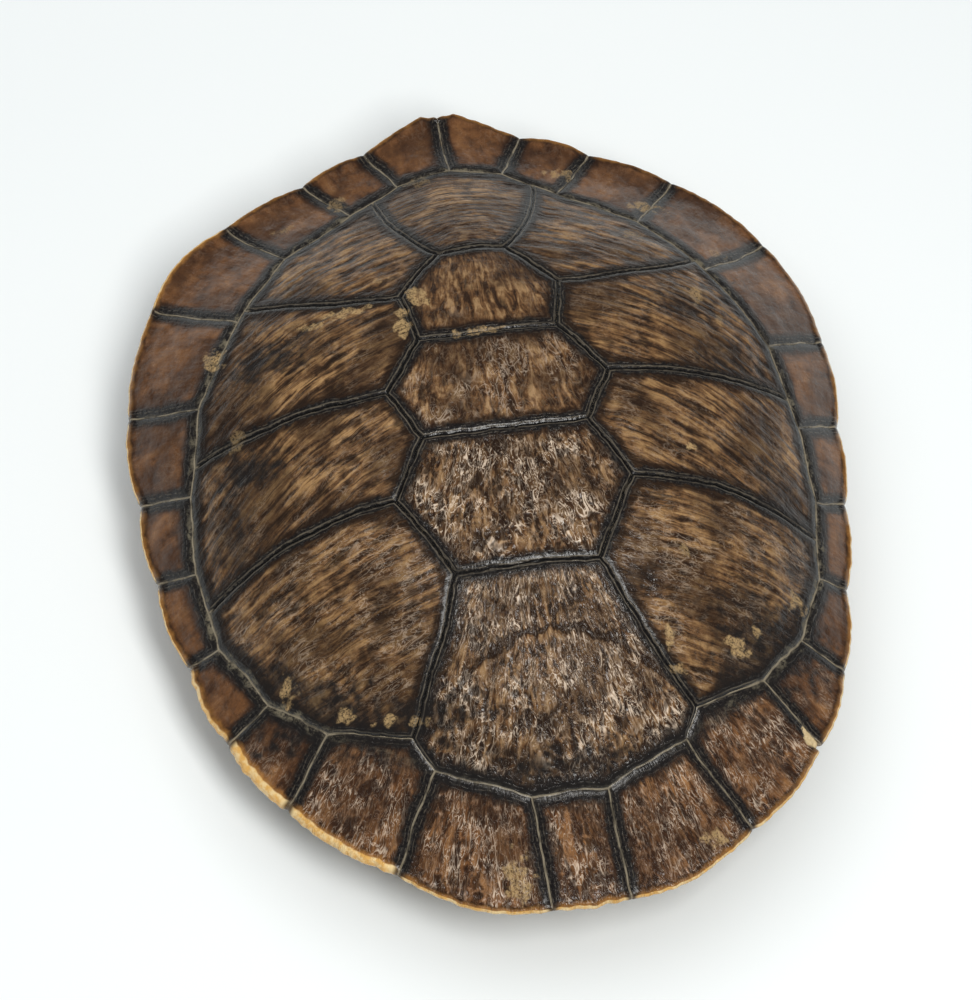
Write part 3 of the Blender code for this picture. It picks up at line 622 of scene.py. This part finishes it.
def make_marginal(name, sides, side, material, seed):
    """A scute folded over the rim: a dense outer skin, a plain inner one, and an end wall at each seam."""
    ring, rim = sides
    fan = fan_of(name)
    ring_length = np.hypot(*np.diff(np.array(ring), axis=0).T).sum()
    rim_length = np.hypot(*np.diff(np.array(rim), axis=0).T).sum()
    length = max(ring_length, rim_length)
    shares = graded(length, TOP_STEP) / length
    shares = JOIN / length + shares * (1 - 2 * JOIN / length)
    a, b = along(ring, shares), along(rim, shares)
    worn = WORN.get(name, 0.35)
    width = np.hypot(*(b - a).T)
    world = b * (side, 1)
    nibble = worn * (0.5 + 0.5 * noise(world[:, 0] / 2.3, world[:, 1] / 2.3, 81))
    nibble += 0.5 * worn * np.clip(noise(world[:, 0] / 6.0, world[:, 1] / 6.0, 82), 0, 1) - stands_out(world)
    b = a + (b - a) * (1 - nibble / width)[:, None]
    width -= nibble
    mean_width = float(width.mean())
    across = graded(mean_width, TOP_STEP) / mean_width
    across = across[across < 1 - 0.2 / mean_width]
    across[0] = JOIN / mean_width
    tip_z = dome_height(*b.T)
    below = a + (b - a) * UNDERSIDE_REACH
    below_z = underside_height(dome_height(*below.T), b[:, 1])

    # Outer skin: over the top, round the rim, then back underneath.
    columns, kinds = [], []
    for f in across:
        flat = a + (b - a) * f
        r = (1 - f) * width
        weight = ease(r / RIM_BEND)
        bent = warp(flat * (side, 1), weight) * (side, 1)
        z = dome_height(*bent.T)
        turn = np.clip((RIM_ROUND - r) / RIM_ROUND, 0, 1)
        z = z - RIM_DROP * (1 - np.sqrt(1 - turn ** 2))
        columns.append(np.column_stack((bent, z)))
        kinds.append(r)
    direction = (b - a) / width[:, None]
    thick = 1 + 0.8 * ease((-b[:, 1] - 55) / 35)
    for back, drop in ((0.0, RIM_DROP), (0.12, 1.5), (0.45, 1.9), (1.0, 2.2)):
        side_z = tip_z - RIM_DROP - (drop - RIM_DROP) * thick * 1.6
        columns.append(np.column_stack((b - direction * back, side_z)))
        kinds.append(np.full(len(a), -drop))
    start = columns[-1]
    end = np.column_stack((below, below_z))
    for t in np.linspace(0, 1, max(4, round(mean_width * 0.65 / 1.2)))[1:]:
        sag = 0.8 * math.sin(math.pi * t)
        columns.append(start * (1 - t) + end * t + np.array((0, 0, sag)))
        kinds.append(np.full(len(a), -3.0 - 10 * t))
    outer = np.stack(columns, 1)
    reach = np.stack(kinds, 1)
    rows, cols = outer.shape[:2]
    flat = outer[:, :, :2].reshape(-1, 2)

    # Depth of relief at each point, square to the skin.
    ends = np.minimum(segment_distance(flat, ring[0], rim[0]), segment_distance(flat, ring[-1], rim[-1]))
    plan = np.concatenate([a + (b - a) * f for f in across])
    plan = plan.reshape(len(across), rows, 2).transpose(1, 0, 2)
    gap_top = np.minimum(segment_distance(plan.reshape(-1, 2), ring[0], rim[0]),
                         segment_distance(plan.reshape(-1, 2), ring[-1], rim[-1]))
    for p, q in zip(ring, ring[1:]):
        gap_top = np.minimum(gap_top, segment_distance(plan.reshape(-1, 2), p, q))
    gap = ends.reshape(rows, cols)
    gap[:, :len(across)] = gap_top.reshape(rows, len(across))
    gap = np.maximum(gap - JOIN, 0.0).ravel()
    world = flat * (side, 1)
    depth, raised = relief(world, gap, fan, side, seed)
    under = (reach.ravel() < 0)
    depth[under] = np.minimum(depth[under], 0.55 * np.exp(-gap[under] / 0.6) + 0.04)
    near_rim = ease((2.2 - np.abs(reach.ravel())) / 1.6)
    depth *= 1 - 0.75 * near_rim
    raised *= 1 - near_rim
    chip = np.zeros(len(flat))
    if name in CHIP:
        (cx, cy), size = CHIP[name]
        away = np.hypot(flat[:, 0] - cx, flat[:, 1] - cy)
        away += 0.5 * noise(flat[:, 0] / 1.5, flat[:, 1] / 1.5, 91)
        chip = ease((size * 0.62 - away) / 0.5) * (reach.ravel() > -2.1)
        depth = np.maximum(depth, chip * (1.15 + 0.25 * noise(flat[:, 0] / 0.9, flat[:, 1] / 0.9, 92)))
    du = np.gradient(outer, axis=0)
    dv = np.gradient(outer, axis=1)
    normal = np.cross(dv, du)
    normal /= np.linalg.norm(normal, axis=2)[..., None]
    if normal[rows // 2, 3, 2] < 0:
        normal = -normal
    outer = outer - normal * depth.reshape(rows, cols)[..., None]

    # Inner skin, hidden against the bone.
    skin = SCUTE_THICK
    inner = [carapace_surface(a + (b - a) * f, skin) for f in (JOIN / mean_width, 0.4, 0.75)]
    inner.append(np.column_stack((b - direction * 3.2, tip_z - 1.6)))
    inner.append(np.column_stack((below + direction * 0.3, below_z + skin)))
    inner = np.stack(inner, 1)
    size = cols + inner.shape[1]
    loops = np.concatenate((outer, inner[:, ::-1]), 1)
    faces = []
    for k in range(rows - 1):
        for i in range(size):
            j = (i + 1) % size
            faces.append((k * size + i, k * size + j, (k + 1) * size + j, (k + 1) * size + i))
    stops = np.array([0.0, 0.4, 0.75, 1.0])
    behind = [int(np.searchsorted(0.5 * (stops[1:] + stops[:-1]), f)) for f in across]
    last_under = cols - len(across)
    behind += [3] * (last_under - 2) + [4, 4]
    behind = [size - 1 - i for i in behind]
    for first in (0, (rows - 1) * size):
        for i in range(cols - 1):
            corner = (i, i + 1, behind[i + 1], behind[i])
            faces.append([first + c for c in dict.fromkeys(corner)])
    rim_reach = reach.ravel()
    attributes = upper_attributes(world, gap, raised, fan, side, rim_reach)
    attributes["chip"] = chip
    attributes["dust"] = attributes["dust"] * (rim_reach > 0)
    attributes["rim"] = rim_reach - PALE_RIM.get(name, 0.0) * (rim_reach > 0) * ease((9 - rim_reach) / 9)
    spread = {}
    for key, values in attributes.items():
        grid = values.reshape((rows, cols) + values.shape[1:])
        blank = np.zeros((rows, inner.shape[1]) + values.shape[1:])
        spread[key] = np.concatenate((grid, blank), 1).reshape((-1,) + values.shape[1:])
    obj = new_object(name, loops.reshape(-1, 3) * (side, 1, 1), faces, material, spread)
    stand_for(obj, name)


# ---- materials ----
class Graph:
    """Short names for building a node tree."""

    def __init__(self, name):
        self.material = bpy.data.materials.new(name)
        self.material.use_nodes = True
        self.nodes = self.material.node_tree.nodes
        self.links = self.material.node_tree.links
        self.shader = self.nodes["Principled BSDF"]

    def put(self, socket, value):
        if isinstance(value, bpy.types.NodeSocket):
            self.links.new(value, socket)
        else:
            socket.default_value = value

    def attribute(self, name, output="Fac"):
        node = self.nodes.new("ShaderNodeAttribute")
        node.attribute_name = name
        return node.outputs[output]

    def math(self, operation, *values, clamp=False):
        node = self.nodes.new("ShaderNodeMath")
        node.operation = operation
        node.use_clamp = clamp
        for socket, value in zip(node.inputs, values):
            self.put(socket, value)
        return node.outputs[0]

    def ramp(self, value, low, high, to_low=0.0, to_high=1.0):
        node = self.nodes.new("ShaderNodeMapRange")
        node.interpolation_type = "SMOOTHSTEP"
        for socket, v in zip(node.inputs, (value, low, high, to_low, to_high)):
            self.put(socket, v)
        return node.outputs[0]

    def mix(self, factor, a, b, blend="MIX"):
        node = self.nodes.new("ShaderNodeMix")
        node.data_type = "RGBA"
        node.blend_type = blend
        self.put(node.inputs["Factor"], factor)
        self.put(node.inputs["A"], (*a, 1.0) if isinstance(a, tuple) else a)
        self.put(node.inputs["B"], (*b, 1.0) if isinstance(b, tuple) else b)
        return node.outputs["Result"]

    def scaled(self, vector, scale):
        node = self.nodes.new("ShaderNodeVectorMath")
        node.operation = "MULTIPLY"
        self.put(node.inputs[0], vector)
        node.inputs[1].default_value = scale
        return node.outputs[0]

    def noise(self, vector, scale, detail=4.0, roughness=0.55, distortion=0.0):
        node = self.nodes.new("ShaderNodeTexNoise")
        self.put(node.inputs["Vector"], vector)
        node.inputs["Scale"].default_value = scale
        node.inputs["Detail"].default_value = detail
        node.inputs["Roughness"].default_value = roughness
        node.inputs["Distortion"].default_value = distortion
        return node.outputs["Fac"]

    def ridges(self, field, sharpness):
        """1 on the line where a noise crosses its middle value, falling off on both sides."""
        away = self.math("ABSOLUTE", self.math("SUBTRACT", field, 0.5))
        return self.ramp(self.math("MULTIPLY_ADD", away, -sharpness, 1.0), 0.0, 1.0)

    def millimetres(self):
        return self.scaled(self.nodes.new("ShaderNodeTexCoord").outputs["Object"], (1000, 1000, 1000))

    def bump(self, height, strength, distance, onto=None):
        node = self.nodes.new("ShaderNodeBump")
        node.inputs["Strength"].default_value = strength
        node.inputs["Distance"].default_value = distance
        self.put(node.inputs["Height"], height)
        if onto is not None:
            self.put(node.inputs["Normal"], onto)
        return node.outputs[0]

    def finish(self, colour, roughness, normal, specular=0.5, coat=0.0, coat_roughness=0.15):
        self.put(self.shader.inputs["Base Color"], colour)
        self.put(self.shader.inputs["Roughness"], roughness)
        self.put(self.shader.inputs["Normal"], normal)
        self.shader.inputs["Specular IOR Level"].default_value = specular
        self.shader.inputs["Coat Weight"].default_value = coat
        self.shader.inputs["Coat Roughness"].default_value = coat_roughness
        return self.material


def horn(name, deep, mid, light, gloss=0.30, stretch=(0.55, 0.09), border=3.0, relief_shading=0.5, seam_line=0.8,
         calm=0.0):
    """Scute keratin: streaked browns, a dark lined border, a pale seam line, dust, wear and a pale rim."""
    g = Graph(name)
    mm = g.millimetres()
    gap, raised, rim = g.attribute("gap"), g.attribute("raised"), g.attribute("rim")
    grain, thread = g.attribute("grain", "Vector"), g.attribute("thread")
    streaks = g.noise(g.scaled(grain, (stretch[0], stretch[1], 1)), 1.0, 4.0, 0.58, 0.6)
    fibres = g.noise(g.scaled(grain, (1.1, 0.20, 1)), 1.0, 4.0, 0.58, 1.0)
    broad = g.noise(mm, 0.07, 3.0, 0.5)
    mottle = g.noise(mm, 0.36, 5.0, 0.62)
    fine = g.noise(mm, 1.7, 8.0, 0.75)
    # Fine raised threads, where the scute has them.
    fields = (g.noise(g.scaled(grain, (0.42, 0.13, 1)), 1.0, 2.0, 0.5, 1.2),
              g.noise(g.scaled(grain, (0.70, 0.34, 1)), 1.0, 2.0, 0.5, 1.6))
    crest = g.math("MAXIMUM", g.ridges(fields[0], 12.0), g.math("MULTIPLY", g.ridges(fields[1], 10.0), 0.75))
    crest = g.math("MULTIPLY", crest, thread)
    # Painted glints: near-white lines on the thread crests, gathered in patches, stand in for the lamp's
    # highlights; the crests are partly worn pale as well.
    worn_crest_and_glint = g.math("MAXIMUM", g.ridges(fields[0], 34.0), g.math("MULTIPLY", g.ridges(fields[1], 26.0), 0.8))
    glint_patches = g.ramp(g.noise(mm, 0.13, 3.0, 0.55), 0.42, 0.60, 0.12, 1.0)
    worn_crest_and_glint = g.math("MULTIPLY", g.math("MULTIPLY", worn_crest_and_glint, thread), glint_patches)
    lively = g.math("MULTIPLY_ADD", thread, calm, 1.0 - calm)
    tone = g.math("MULTIPLY", g.math("SUBTRACT", mottle, 0.5), 0.62)
    tone = g.math("MULTIPLY_ADD", g.math("SUBTRACT", streaks, 0.5), 1.15, tone)
    tone = g.math("MULTIPLY_ADD", tone, lively, 0.5)
    # Painted shading: the tone follows the relief's height, lighter on raised parts and darker in low ones.
    tone = g.math("ADD", tone, g.math("MULTIPLY_ADD", raised, relief_shading, -0.45 * relief_shading))
    colour = g.mix(g.ramp(tone, 0.34, 0.55), deep, mid)
    colour = g.mix(g.math("MULTIPLY", g.ramp(tone, 0.50, 0.72), 0.9), colour, light)
    colour = g.mix(g.math("MULTIPLY", g.ramp(fibres, 0.52, 0.68, 0.0, 0.28), lively), colour, light)
    colour = g.mix(g.math("MULTIPLY", g.ramp(fibres, 0.48, 0.34, 0.0, 0.42), lively), colour, deep)
    # Golden patches, partly painted sheen that stands in for a reflection.
    gold_and_sheen = g.math("MULTIPLY", g.attribute("gold_and_sheen"), g.ramp(streaks, 0.44, 0.58))
    gold_and_sheen = g.math("MULTIPLY", gold_and_sheen, g.ramp(fibres, 0.40, 0.56, 0.15, 0.9))
    colour = g.mix(gold_and_sheen, colour, tuple(min(1.0, 1.2 * c) for c in light))
    colour = g.mix(g.ramp(broad, 0.42, 0.60, 0.0, 0.66), colour, deep)
    # Painted highlight: the thread crests are lightened.
    colour = g.mix(g.math("MULTIPLY", crest, 0.22), colour, light)
    # Painted glints on the thread crests, partly a worn pale crest.
    colour = g.mix(g.math("MULTIPLY", worn_crest_and_glint, 0.78), colour, (0.76, 0.62, 0.48))
    colour = g.mix(g.ramp(fine, 0.46, 0.34, 0.0, 0.42), colour, tuple(0.3 * c for c in deep))
    # Painted shade: the relief's low spots, and the strip beside each seam where the relief falls away, are
    # darkened.
    colour = g.mix(g.ramp(raised, 0.40, 0.14, 0.0, 0.75), colour, tuple(0.5 * c for c in deep))
    # The border along each seam: near black, with fine lines that follow the seam.
    ragged = g.math("MULTIPLY_ADD", g.noise(mm, 0.55, 5.0, 0.65), 3.2, -1.6)
    shifted = g.math("ADD", gap, ragged)
    edge_dark = g.ramp(shifted, border * 0.62, border * 1.15, 1.0, 0.0)
    cloudy = g.ramp(g.noise(mm, 1.3, 5.0, 0.65), 0.44, 0.68)
    ink = g.mix(cloudy, (0.0050, 0.0046, 0.0048), (0.026, 0.024, 0.022))
    colour = g.mix(g.math("MULTIPLY", edge_dark, 0.95), colour, ink)
    wave = g.math("SINE", g.math("MULTIPLY_ADD", gap, 7.0, g.math("MULTIPLY", g.noise(mm, 0.35, 3.0), 9.0)))
    lines = g.math("MULTIPLY", g.ramp(wave, 0.45, 1.0), g.ramp(gap, 0.5, border * 1.5, 1.0, 0.0))
    lines = g.math("MULTIPLY", lines, g.ramp(g.noise(mm, 0.7, 4.0), 0.44, 0.58))
    colour = g.mix(g.math("MULTIPLY", lines, 0.6), colour, (0.115, 0.095, 0.068))
    dark = g.math("MULTIPLY", g.attribute("dark"), g.ramp(mottle, 0.36, 0.60, 1.0, 0.74))
    colour = g.mix(g.math("MULTIPLY", dark, 0.92), colour, (0.010, 0.0085, 0.008))
    # Dust in the ring seam, pale worn patches, and the thin line in the seam itself: pale in the ring seam
    # and the marginals' seams, elsewhere near black as a painted shadow of the groove.
    speck = g.ramp(g.math("ADD", g.math("MULTIPLY", fine, 0.5), g.math("MULTIPLY", mottle, 0.5)), 0.46, 0.58)
    dust = g.math("MULTIPLY", g.attribute("dust"), speck)
    colour = g.mix(g.math("MULTIPLY", dust, 0.7), colour, (0.20, 0.172, 0.115))
    pale = g.math("MULTIPLY", g.ramp(g.attribute("pale"), 0.2, 0.9), g.ramp(fine, 0.38, 0.54))
    pale = g.math("MULTIPLY", pale, g.ramp(fibres, 0.36, 0.52, 0.35, 1.0))
    colour = g.mix(g.math("MULTIPLY", pale, 0.85), colour, (0.44, 0.295, 0.135))
    pale_seam = g.math("MAXIMUM", g.attribute("ring"), seam_line)
    broken = g.ramp(g.noise(mm, 0.18, 4.0), 0.38, 0.54, 0.35, 1.0)
    seam = g.math("MULTIPLY", g.ramp(gap, 0.05, 0.30, 1.0, 0.0), broken)
    # Painted shadow: the seam's core is near black wherever the seam line is not pale.
    pale_line_and_painted_shadow = g.mix(pale_seam, (0.003, 0.003, 0.003), (0.26, 0.22, 0.155))
    colour = g.mix(seam, colour, pale_line_and_painted_shadow)
    beside = g.ramp(g.math("ABSOLUTE", g.math("SUBTRACT", gap, 0.62)), 0.06, 0.20, 0.42, 0.0)
    beside = g.math("MULTIPLY", beside, g.math("MULTIPLY", broken, g.math("SUBTRACT", 1.0, pale_seam)))
    colour = g.mix(beside, colour, (0.19, 0.16, 0.115))
    # The rim: amber where the horn thins, then a pale worn line, and amber with brown clouds below.
    wobble = g.math("MULTIPLY_ADD", g.noise(mm, 0.35, 4.0), 2.0, -1.0)
    to_rim = g.math("ADD", rim, wobble)
    amber = g.mix(g.ramp(fine, 0.3, 0.7), (0.30, 0.125, 0.028), (0.42, 0.20, 0.050))
    near = g.math("MULTIPLY", g.ramp(to_rim, 0.1, 1.7, 1.0, 0.0), g.ramp(gap, 0.6, 3.0, 0.08, 1.0))
    colour = g.mix(g.math("MULTIPLY", near, 0.75), colour, amber)
    worn = g.math("MULTIPLY", g.ramp(rim, 0.0, 0.45, 1.0, 0.0), g.ramp(gap, 0.4, 2.0, 0.06, 1.0))
    cream = g.mix(g.ramp(mottle, 0.4, 0.6), (0.72, 0.41, 0.115), (0.84, 0.63, 0.32))
    colour = g.mix(g.math("MULTIPLY", worn, 0.9), colour, cream)
    below = g.math("MULTIPLY", g.ramp(rim, -1.2, -1.7, 0.0, 1.0), g.ramp(mottle, 0.35, 0.60, 0.95, 0.55))
    colour = g.mix(below, colour, (0.24, 0.105, 0.030))
    chip = g.attribute("chip")
    bone = g.mix(g.ramp(fine, 0.35, 0.7), (0.50, 0.37, 0.19), (0.66, 0.53, 0.32))
    colour = g.mix(chip, colour, bone)
    rough = g.ramp(mottle, 0.3, 0.75, gloss - 0.05, gloss + 0.08)
    rough = g.math("ADD", rough, g.math("MULTIPLY", dust, 0.4))
    rough = g.math("ADD", rough, g.math("MULTIPLY", chip, 0.45))
    rough = g.math("ADD", rough, g.math("MULTIPLY", pale, 0.3), clamp=True)
    low_fibres = g.noise(g.scaled(grain, (0.9, 0.16, 1)), 1.0, 2.0, 0.5, 0.8)
    grit = g.noise(mm, 0.9, 2.0, 0.5)
    height = g.math("ADD", g.math("MULTIPLY", grit, 0.25), g.math("MULTIPLY", low_fibres, 0.45))
    height = g.math("ADD", height, g.math("MULTIPLY", crest, 0.62))
    height = g.math("ADD", height, g.math("MULTIPLY", lines, 0.2))
    normal = g.bump(height, 1.0, 0.0003)
    return g.finish(colour, rough, normal, 0.27)


def bone_material():
    """Dry bone: cream, with pores, faint brown clouds and fine cracks."""
    g = Graph("dry_bone")
    mm = g.millimetres()
    clouds, pores = g.noise(mm, 0.06, 5.0, 0.6, 0.6), g.noise(mm, 1.4, 6.0, 0.7)
    colour = g.mix(g.ramp(clouds, 0.35, 0.68), (0.52, 0.41, 0.25), (0.66, 0.57, 0.41))
    colour = g.mix(g.ramp(pores, 0.44, 0.30, 0.0, 0.7), colour, (0.22, 0.14, 0.07))
    cracks = g.ridges(g.noise(mm, 0.16, 4.0, 0.6, 1.5), 40.0)
    colour = g.mix(g.math("MULTIPLY", cracks, 0.5), colour, (0.17, 0.11, 0.06))
    height = g.math("SUBTRACT", pores, g.math("MULTIPLY", cracks, 0.6))
    return g.finish(colour, g.ramp(clouds, 0.3, 0.7, 0.72, 0.58), g.bump(height, 0.7, 0.0003), 0.4)


# ---- camera, lights, floor ----
def aim(obj, position, target, roll=0.0):
    forward = (Vector(target) - Vector(position)).normalized()
    right = forward.cross(Vector((0, 0, 1))).normalized()
    up = right.cross(forward)
    turned_right = right * math.cos(roll) + up * math.sin(roll)
    turned_up = up * math.cos(roll) - right * math.sin(roll)
    axes = Matrix((turned_right, turned_up, -forward)).transposed()
    obj.matrix_world = Matrix.Translation(position) @ axes.to_4x4()


def add_light(name, position, target, size, watts, colour=(1.0, 1.0, 1.0), glossy=True):
    data = bpy.data.lights.new(name, "AREA")
    data.shape = "RECTANGLE"
    data.size, data.size_y = size
    data.energy = watts
    data.color = colour
    obj = bpy.data.objects.new(name, data)
    bpy.context.scene.collection.objects.link(obj)
    obj.visible_glossy = glossy
    aim(obj, position, target)


def add_camera():
    """Looks from 66 degrees above the table, 13 degrees to the left of the head end."""
    elevation, azimuth = math.radians(66.0), math.radians(13.0)
    toward = Vector((-math.sin(azimuth) * math.cos(elevation), -math.cos(azimuth) * math.cos(elevation),
                     math.sin(elevation)))
    target = Vector(placed([(-4.75, -7.70, 46.4)])[0])
    target.x = MIDDLE.x - 4.75 * UNIT
    data = bpy.data.cameras.new("camera")
    data.lens = 128.4
    data.clip_start = 0.05
    camera = bpy.data.objects.new("camera", data)
    bpy.context.scene.collection.objects.link(camera)
    aim(camera, target + toward * 900 * UNIT, target, math.radians(5.318))
    bpy.context.scene.camera = camera


def add_floor():
    mesh = bpy.data.meshes.new("floor")
    z = CAD_LOW.z
    mesh.from_pydata([(-4, -4, z), (4, -4, z), (4, 4, z), (-4, 4, z)], [], [(0, 1, 2, 3)])
    floor = bpy.data.objects.new("floor", mesh)
    bpy.context.scene.collection.objects.link(floor)
    g = Graph("floor_paper")
    shade = g.mix(g.noise(g.millimetres(), 0.01, 2.0), (0.85, 0.89, 0.895), (0.87, 0.905, 0.91))
    tooth = g.bump(g.noise(g.millimetres(), 0.8, 3.0), 0.05, 0.0002)
    mesh.materials.append(g.finish(shade, 0.75, tooth, 0.2))


def add_world():
    world = bpy.data.worlds.new("studio")
    world.use_nodes = True
    world.node_tree.nodes["Background"].inputs["Color"].default_value = (0.95, 0.98, 1.0, 1.0)
    world.node_tree.nodes["Background"].inputs["Strength"].default_value = 0.24
    bpy.context.scene.world = world
    bpy.context.scene.view_settings.view_transform = "Standard"


# ---- the pieces ----
def ridge_across(points, gap, depth, raised):
    """The first vertebral's old growth plate: a low arch-shaped step across the scute."""
    x, y = points.T
    arch = (y + 53.5) + 0.017 * (x - 2.0) ** 2 + 1.4 * noise(x / 5, y / 5, 55)
    middle = ease((gap - 1.5) / 3)
    behind = 1 - ease((arch + 0.5) / 1.6)
    depth = depth * 0.8 + middle * (0.30 * (1 - behind) + 0.22 * np.exp(-((arch - 1.3) / 0.9) ** 2))
    raised = raised + 0.25 * np.exp(-((arch + 0.8) / 0.9) ** 2) - 0.5 * np.exp(-((arch - 1.3) / 0.8) ** 2)
    return np.clip(depth, 0.0, DEEPEST), np.clip(raised, 0, 1)


def make_carapace():
    browns = {
        "vertebral": horn("horn_vertebral", (0.026, 0.012, 0.006), (0.125, 0.060, 0.024),
                          (0.32, 0.195, 0.092), 0.19, (0.8, 0.18), 2.3, 0.30, 0.0),
        "costal": horn("horn_costal", (0.025, 0.0120, 0.0060), (0.140, 0.070, 0.029), (0.315, 0.185, 0.078),
                       0.23, (0.85, 0.070), 1.8, 0.35, 0.0),
        "marginal": horn("horn_marginal", (0.036, 0.015, 0.007), (0.145, 0.062, 0.023), (0.30, 0.148, 0.058),
                         0.22, (0.3, 0.10), 2.5, 0.25, 1.0, 0.6),
    }
    vertebrals, costals = vertebral_outlines(), costal_outlines()
    seed = 100
    for number, outline in vertebrals.items():
        name = f"vertebral_{number}"
        shape = ridge_across if number == 1 else None
        make_plate(name, outline, carapace_surface, browns["vertebral"], fan_of(name), 1, seed, TOP_STEP,
                   shape)
        seed += 10
    for number, outline in costals.items():
        for word, side in (("right", 1), ("left", -1)):
            shown = outline if side == 1 else mirrored(outline[::-1])
            name = f"costal_{word}_{number}"
            make_plate(name, shown, carapace_surface, browns["costal"], fan_of(name), side, seed, TOP_STEP)
            seed += 10
    make_marginal("nuchal", nuchal_sides(), 1, browns["marginal"], seed)
    for number in range(1, 13):
        for word, side in (("right", 1), ("left", -1)):
            seed += 10
            make_marginal(f"marginal_{word}_{number}", marginal_sides(number), side, browns["marginal"], seed)


def make_plastron():
    horn_below = horn("horn_plastral", (0.11, 0.058, 0.024), (0.33, 0.20, 0.085), (0.50, 0.36, 0.18),
                      0.36, (0.3, 0.06), 1.3, 0.3, 0.0)
    outlines, intergular = plastral_outlines()
    make_plate("intergular", intergular, plastron_surface, horn_below, PLASTRAL, 1, 900, LOW_STEP,
               None, False)
    seed = 910
    for kind, outline in outlines.items():
        for word, side in (("right", 1), ("left", -1)):
            shown = outline if side == 1 else mirrored(outline[::-1])
            make_plate(f"{kind}_{word}", shown, plastron_surface, horn_below, PLASTRAL, side, seed, LOW_STEP,
                       None, False)
            seed += 10


def main():
    add_camera()
    add_world()
    add_floor()
    centre = (MIDDLE.x, MIDDLE.y, CAD_LOW.z)
    add_light("key", (0.13, -0.38, 0.89), centre, (0.20, 0.50), 6.0, (1.0, 0.985, 0.96))
    add_light("overhead", (-0.20, 0.32, 1.15), centre, (1.3, 1.3), 7.8, (1.0, 1.0, 1.0), False)
    make_carapace()
    make_plastron()
    bone = bone_material()
    for node in ("carapace_bone", "plastron_bone"):
        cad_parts[node].data.materials.clear()
        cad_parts[node].data.materials.append(bone)


main()
